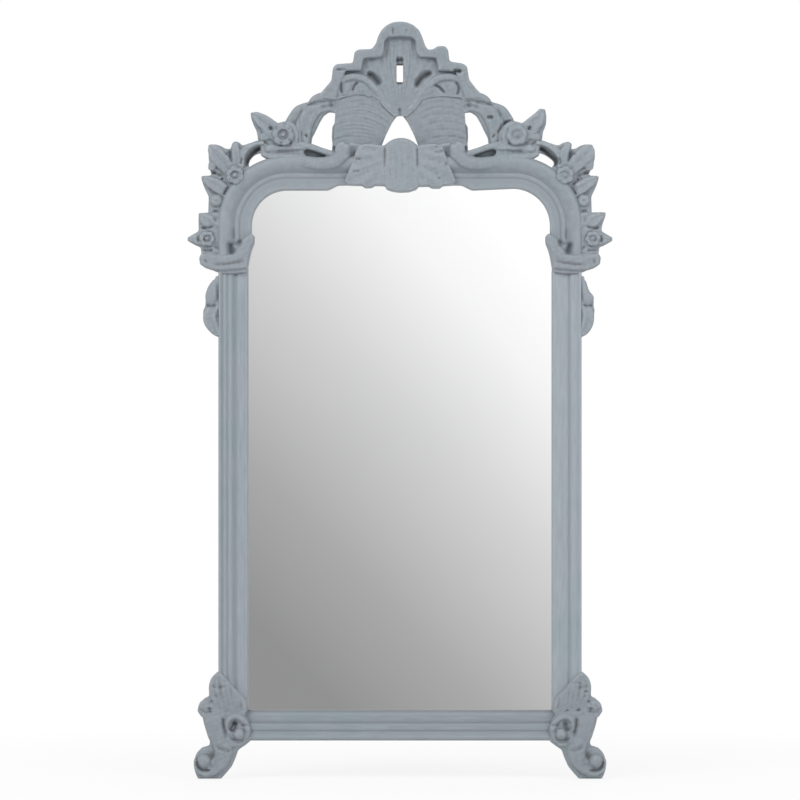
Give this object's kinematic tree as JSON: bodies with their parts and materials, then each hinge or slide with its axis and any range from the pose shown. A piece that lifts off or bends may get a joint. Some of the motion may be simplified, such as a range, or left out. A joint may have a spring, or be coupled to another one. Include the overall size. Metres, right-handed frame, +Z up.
{
  "type": "wall mirror",
  "caption": "Tall wall mirror in a carved, grey painted wooden frame with a moulded arch, a pierced crest, leaf sprays and scroll feet.",
  "frame": {"origin": "on the wall plane, on the mirror's centre line, at the middle of the felt pad behind the bottom rail; the feet end 72.5 mm below it", "axes": "+X to the right as seen from the front, +Y into the wall, +Z up"},
  "size_m": [0.6736, 0.06, 1.2001],
  "materials": {
    "painted_frame": "worn matt blue-grey paint",
    "painted_carving": "worn matt blue-grey paint over brown",
    "silvered_glass": "silvered, polished",
    "packing_foam": "soft foam",
    "hardboard": "smooth brown hardboard",
    "zinc_steel": "zinc plated",
    "bumper_felt": "dark felt",
    "bare_wood": "bare beech"
  },
  "bodies": {
    "frame": {"stile_left": "painted_frame", "stile_right": "painted_frame", "bottom_rail": "painted_frame", "arch_left": "painted_frame", "arch_right": "painted_frame", "crest_board": "painted_frame", "crest_cartouche": "painted_carving", "crest_plume": "painted_carving", "shell_wing_left": "painted_carving", "shell_wing_right": "painted_carving", "crest_leaf_left": "painted_carving", "crest_leaf_right": "painted_carving", "arch_scroll_left": "painted_carving", "arch_scroll_right": "painted_carving", "centre_valance": "painted_carving", "rosette_left": "painted_carving", "rosette_right": "painted_carving", "rosette_leaf_left": "painted_carving", "rosette_leaf_right": "painted_carving", "shoulder_spray_left": "painted_carving", "shoulder_spray_right": "painted_carving", "shoulder_flower_left": "painted_carving", "shoulder_flower_right": "painted_carving", "side_spray_left": "painted_carving", "side_spray_right": "painted_carving", "side_flower_left": "painted_carving", "side_flower_right": "painted_carving", "collar_left": "painted_carving", "collar_right": "painted_carving", "drop_leaf_left": "painted_carving", "drop_leaf_right": "painted_carving", "corner_leaf_left": "painted_carving", "corner_leaf_right": "painted_carving", "scroll_foot_left": "painted_carving", "scroll_foot_right": "painted_carving", "mirror_glass": "silvered_glass", "glass_packing": "packing_foam", "backing_board": "hardboard", "board_screws": "zinc_steel", "strap_screws": "zinc_steel", "hanger_screws": "zinc_steel", "crest_strap_left": "zinc_steel", "crest_strap_right": "zinc_steel", "hanger_strap_left": "zinc_steel", "hanger_strap_right": "zinc_steel", "wall_bumpers": "bumper_felt", "frame_dowels": "bare_wood"},
    "ring_left": {"hanger_ring_left": "zinc_steel"},
    "ring_right": {"hanger_ring_right": "zinc_steel"}
  },
  "joints": [
    {"name": "ring_left_swing", "type": "hinge", "parent": "frame", "child": "ring_left", "pos_m": [-0.2755, -0.00495, 0.7075], "axis": [1, 0, 0], "range_deg": [0, 178]},
    {"name": "ring_right_swing", "type": "hinge", "parent": "frame", "child": "ring_right", "pos_m": [0.2755, -0.00495, 0.7075], "axis": [1, 0, 0], "range_deg": [0, 178]}
  ]
}
